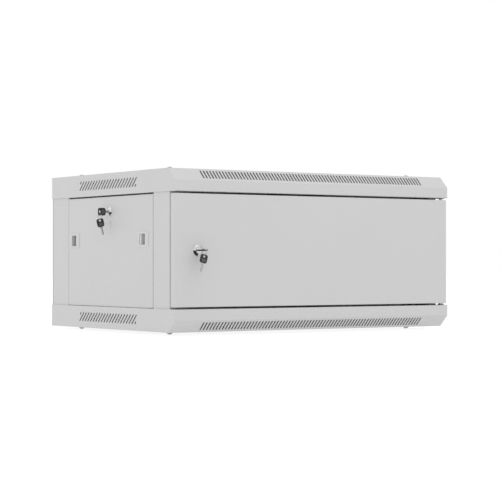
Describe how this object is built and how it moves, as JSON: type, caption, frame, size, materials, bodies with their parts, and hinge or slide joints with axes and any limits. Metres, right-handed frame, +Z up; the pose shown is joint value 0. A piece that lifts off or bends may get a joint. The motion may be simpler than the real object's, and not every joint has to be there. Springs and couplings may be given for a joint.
{
  "type": "wall mount network cabinet",
  "caption": "Shallow wall mounted network rack cabinet with a key-locked hinged steel front door, lift-off side panels, slide latches and slotted vents in both covers.",
  "frame": {"origin": "centre of the four wall holes, on the back face of the rear panel, which is also mid width and mid height of the cabinet", "axes": "+X to the right seen from the front, +Y from the front into the wall, +Z up"},
  "size_m": [0.6252, 0.4796, 0.2922],
  "materials": {
    "grey_paint": "fine-textured light grey powder coat on sheet steel",
    "zinc_plate": "zinc plated steel",
    "lock_chrome": "polished chrome plate",
    "key_steel": "nickel plated, bright",
    "black_plastic": "moulded black plastic",
    "grey_plastic": "moulded grey plastic",
    "black_rubber": "matt black rubber"
  },
  "bodies": {
    "cabinet": {"top_cover": "grey_paint", "bottom_cover": "grey_paint", "cover_screws": "zinc_plate", "front_left_post": "grey_paint", "front_right_post": "grey_paint", "rear_left_post": "grey_paint", "rear_right_post": "grey_paint", "left_upper_depth_rail": "grey_paint", "left_lower_depth_rail": "grey_paint", "right_upper_depth_rail": "grey_paint", "right_lower_depth_rail": "grey_paint", "front_left_rack_rail": "zinc_plate", "front_right_rack_rail": "zinc_plate", "rear_left_rack_rail": "zinc_plate", "rear_right_rack_rail": "zinc_plate", "frame_screws": "zinc_plate", "rear_panel": "grey_paint", "top_cable_blank": "grey_paint", "bottom_cable_blank": "grey_paint", "blank_screws": "zinc_plate", "earth_stud": "zinc_plate", "hinge_bushes": "black_plastic", "door_buffers": "black_rubber"},
    "door": {"door_panel": "grey_paint", "door_stiffener": "grey_paint", "upper_hinge_bracket": "zinc_plate", "lower_hinge_bracket": "zinc_plate", "lower_hinge_pin": "zinc_plate", "hinge_spring": "zinc_plate", "door_lock_housing": "lock_chrome", "door_lock_nut": "zinc_plate"},
    "hinge_pin": {"upper_hinge_pin": "zinc_plate"},
    "door_plug": {"door_lock_plug": "lock_chrome", "door_lock_cam": "zinc_plate"},
    "door_key": {"door_key_blade": "key_steel", "door_key_bow": "black_plastic", "door_key_ring": "key_steel"},
    "door_spare_key": {"door_spare_key_blade": "key_steel", "door_spare_key_bow": "black_plastic"},
    "left_panel": {"left_side_panel": "grey_paint", "left_latch_cases": "grey_plastic", "left_lock_housing": "lock_chrome", "left_lock_nut": "zinc_plate"},
    "left_plug": {"left_lock_plug": "lock_chrome", "left_lock_cam": "zinc_plate"},
    "left_key": {"left_key_blade": "key_steel", "left_key_bow": "black_plastic", "left_key_ring": "key_steel"},
    "left_spare_key": {"left_spare_key_blade": "key_steel", "left_spare_key_bow": "black_plastic"},
    "left_front_slider": {"left_front_latch_slider": "grey_plastic"},
    "left_rear_slider": {"left_rear_latch_slider": "grey_plastic"},
    "right_panel": {"right_side_panel": "grey_paint", "right_latch_cases": "grey_plastic", "right_lock_housing": "lock_chrome", "right_lock_nut": "zinc_plate"},
    "right_plug": {"right_lock_plug": "lock_chrome", "right_lock_cam": "zinc_plate"},
    "right_front_slider": {"right_front_latch_slider": "grey_plastic"},
    "right_rear_slider": {"right_rear_latch_slider": "grey_plastic"}
  },
  "joints": [
    {"name": "door_swing", "type": "hinge", "parent": "cabinet", "child": "door", "pos_m": [0.291, -0.4415, 0], "axis": [0, 0, 1], "range_deg": [0, 180]},
    {"name": "hinge_pin_pull", "type": "slide", "parent": "door", "child": "hinge_pin", "axis": [0, 0, -1], "range_m": [0, 0.009], "stiffness_N_per_m": 400, "springref_m": -0.003, "deforming": ["hinge_spring"]},
    {"name": "door_lock_turn", "type": "hinge", "parent": "door", "child": "door_plug", "pos_m": [-0.2534, -0.4495, 0], "axis": [0, 1, 0], "range_deg": [0, 90]},
    {"name": "door_key_pull", "type": "slide", "parent": "door_plug", "child": "door_key", "axis": [0, -1, 0], "range_m": [0, 0.03]},
    {"name": "door_spare_key_swing", "type": "hinge", "parent": "door_key", "child": "door_spare_key", "pos_m": [-0.2555, -0.4732, -0.0094], "axis": [0, 1, 0], "range_deg": [-60, 60]},
    {"name": "left_panel_off", "type": "slide", "parent": "cabinet", "child": "left_panel", "axis": [-1, 0, 0], "range_m": [0, 0.06]},
    {"name": "left_lock_turn", "type": "hinge", "parent": "left_panel", "child": "left_plug", "pos_m": [-0.2982, -0.2195, 0.0706], "axis": [1, 0, 0], "range_deg": [0, 90]},
    {"name": "left_key_pull", "type": "slide", "parent": "left_plug", "child": "left_key", "axis": [-1, 0, 0], "range_m": [0, 0.03]},
    {"name": "left_spare_key_swing", "type": "hinge", "parent": "left_key", "child": "left_spare_key", "pos_m": [-0.3174, -0.2195, 0.0558], "axis": [0, 1, 0], "range_deg": [-18, 60]},
    {"name": "left_front_latch_slide", "type": "slide", "parent": "left_panel", "child": "left_front_slider", "axis": [0, -1, 0], "range_m": [0, 0.0055]},
    {"name": "left_rear_latch_slide", "type": "slide", "parent": "left_panel", "child": "left_rear_slider", "axis": [0, 1, 0], "range_m": [0, 0.0055]},
    {"name": "right_panel_off", "type": "slide", "parent": "cabinet", "child": "right_panel", "axis": [1, 0, 0], "range_m": [0, 0.06]},
    {"name": "right_lock_turn", "type": "hinge", "parent": "right_panel", "child": "right_plug", "pos_m": [0.2982, -0.2195, 0.0706], "axis": [-1, 0, 0], "range_deg": [0, 90]},
    {"name": "right_front_latch_slide", "type": "slide", "parent": "right_panel", "child": "right_front_slider", "axis": [0, -1, 0], "range_m": [0, 0.0055]},
    {"name": "right_rear_latch_slide", "type": "slide", "parent": "right_panel", "child": "right_rear_slider", "axis": [0, 1, 0], "range_m": [0, 0.0055]}
  ]
}
